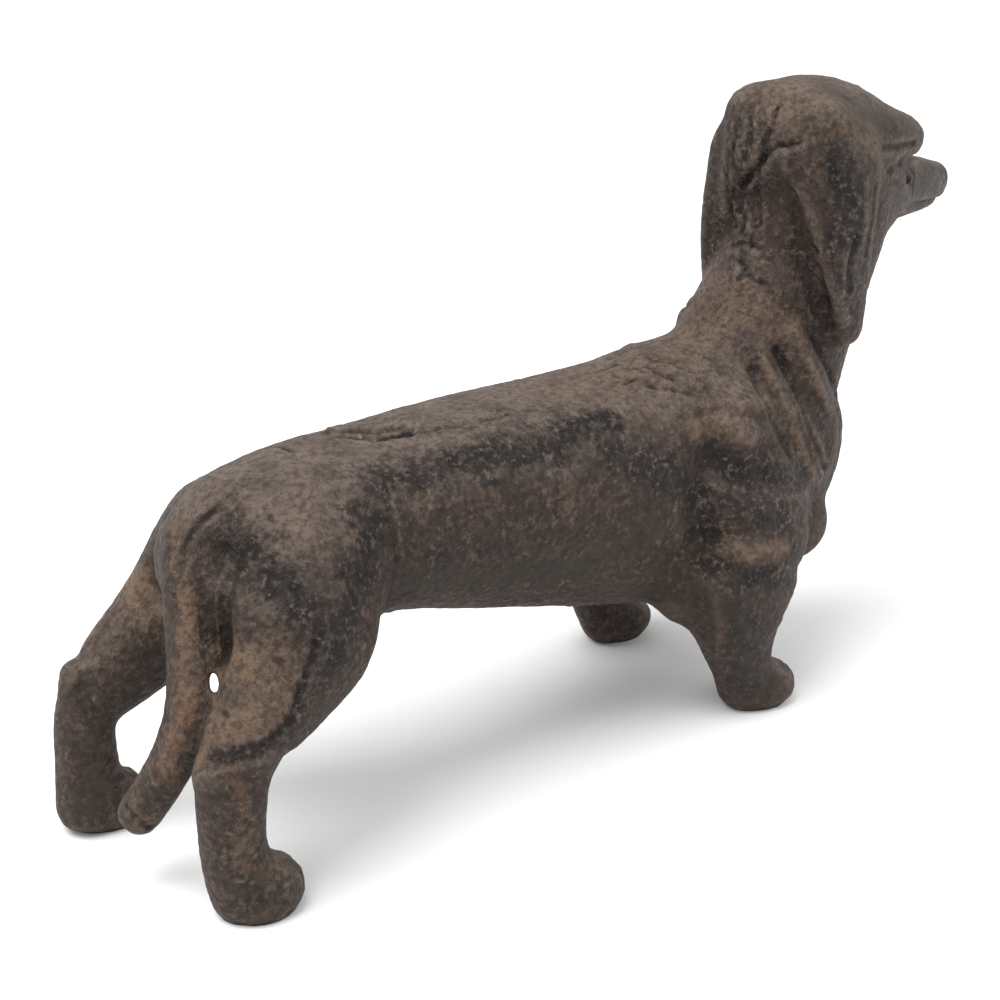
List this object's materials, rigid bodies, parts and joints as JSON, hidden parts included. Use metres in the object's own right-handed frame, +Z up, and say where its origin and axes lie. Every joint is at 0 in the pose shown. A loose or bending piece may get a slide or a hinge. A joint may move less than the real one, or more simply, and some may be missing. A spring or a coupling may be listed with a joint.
{
  "type": "dog figurine",
  "caption": "Standing dachshund figurine: long low body on short legs, head raised and turned to its left, ears and tail hanging, cast solid.",
  "frame": {"origin": "on the ground, under the middle of the figure's length and width", "axes": "+X the way the body faces, +Y to the dog's left, +Z up from the ground"},
  "size_m": [0.18, 0.0442, 0.1006],
  "materials": {
    "cast_iron": "sand-cast iron with a dull dark brown patina, worn to a lighter grey-brown on its high places"
  },
  "bodies": {
    "root": {"dachshund": "cast_iron"}
  },
  "joints": []
}
